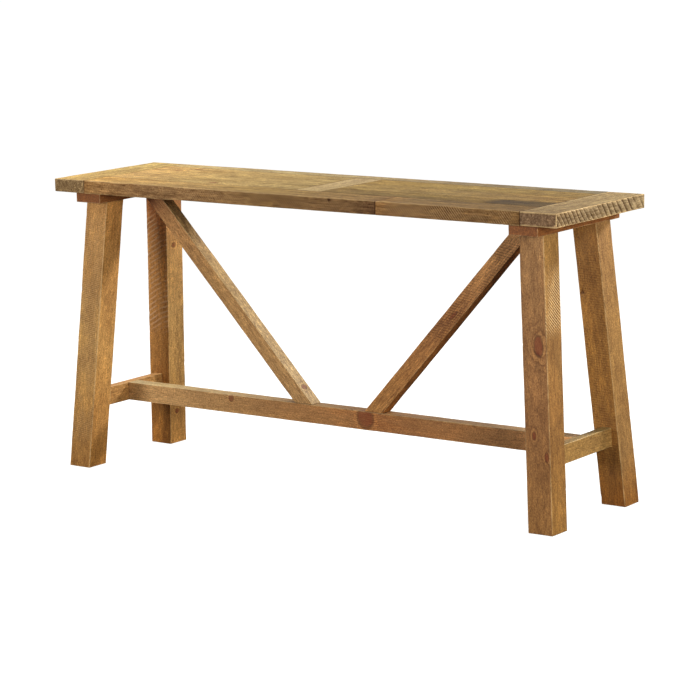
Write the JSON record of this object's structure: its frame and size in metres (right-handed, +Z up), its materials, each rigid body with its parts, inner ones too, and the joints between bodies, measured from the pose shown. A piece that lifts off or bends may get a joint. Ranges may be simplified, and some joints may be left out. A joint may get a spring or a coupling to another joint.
{
  "type": "console table",
  "caption": "Rustic plank-topped console table on splayed square legs, with cross stretchers, a long low stretcher and diagonal braces.",
  "frame": {"origin": "on the floor, under the centre of the table's box", "axes": "+X along the top to the right as seen from the front, +Y from the front to the back, +Z up"},
  "size_m": [1.524, 0.4064, 0.762],
  "materials": {
    "top_plank_honey": "rough-sawn reclaimed softwood, waxed honey tan",
    "top_plank_brown": "rough-sawn reclaimed softwood, waxed greyish brown",
    "top_plank_pale": "rough-sawn reclaimed softwood, pale straw",
    "leg_timber": "rough-sawn pine post, stained orange tan with worn arrises",
    "stretcher_timber": "rough-sawn pine, stained reddish brown",
    "brace_timber": "rough-sawn pine, stained tan",
    "dowel_wood": "plain beech dowel",
    "screw_steel": "dull zinc-plated steel"
  },
  "bodies": {
    "root": {"end_board_left": "top_plank_honey", "end_board_right": "top_plank_brown", "front_board_left": "top_plank_brown", "front_board_right": "top_plank_brown", "back_board": "top_plank_honey", "centre_rail": "top_plank_pale", "panel_left_front": "top_plank_honey", "panel_left_middle": "top_plank_honey", "panel_left_back": "top_plank_honey", "panel_right_front": "top_plank_brown", "panel_right_middle": "top_plank_brown", "panel_right_back": "top_plank_brown", "cleat_left": "stretcher_timber", "cleat_right": "stretcher_timber", "leg_front_left": "leg_timber", "leg_front_right": "leg_timber", "leg_back_left": "leg_timber", "leg_back_right": "leg_timber", "cross_stretcher_left": "stretcher_timber", "cross_stretcher_right": "stretcher_timber", "long_stretcher": "stretcher_timber", "brace_left": "brace_timber", "brace_right": "brace_timber", "top_screws": "screw_steel", "leg_screws": "screw_steel", "brace_screws": "screw_steel", "top_dowels": "dowel_wood", "stretcher_dowels": "dowel_wood"}
  },
  "joints": []
}
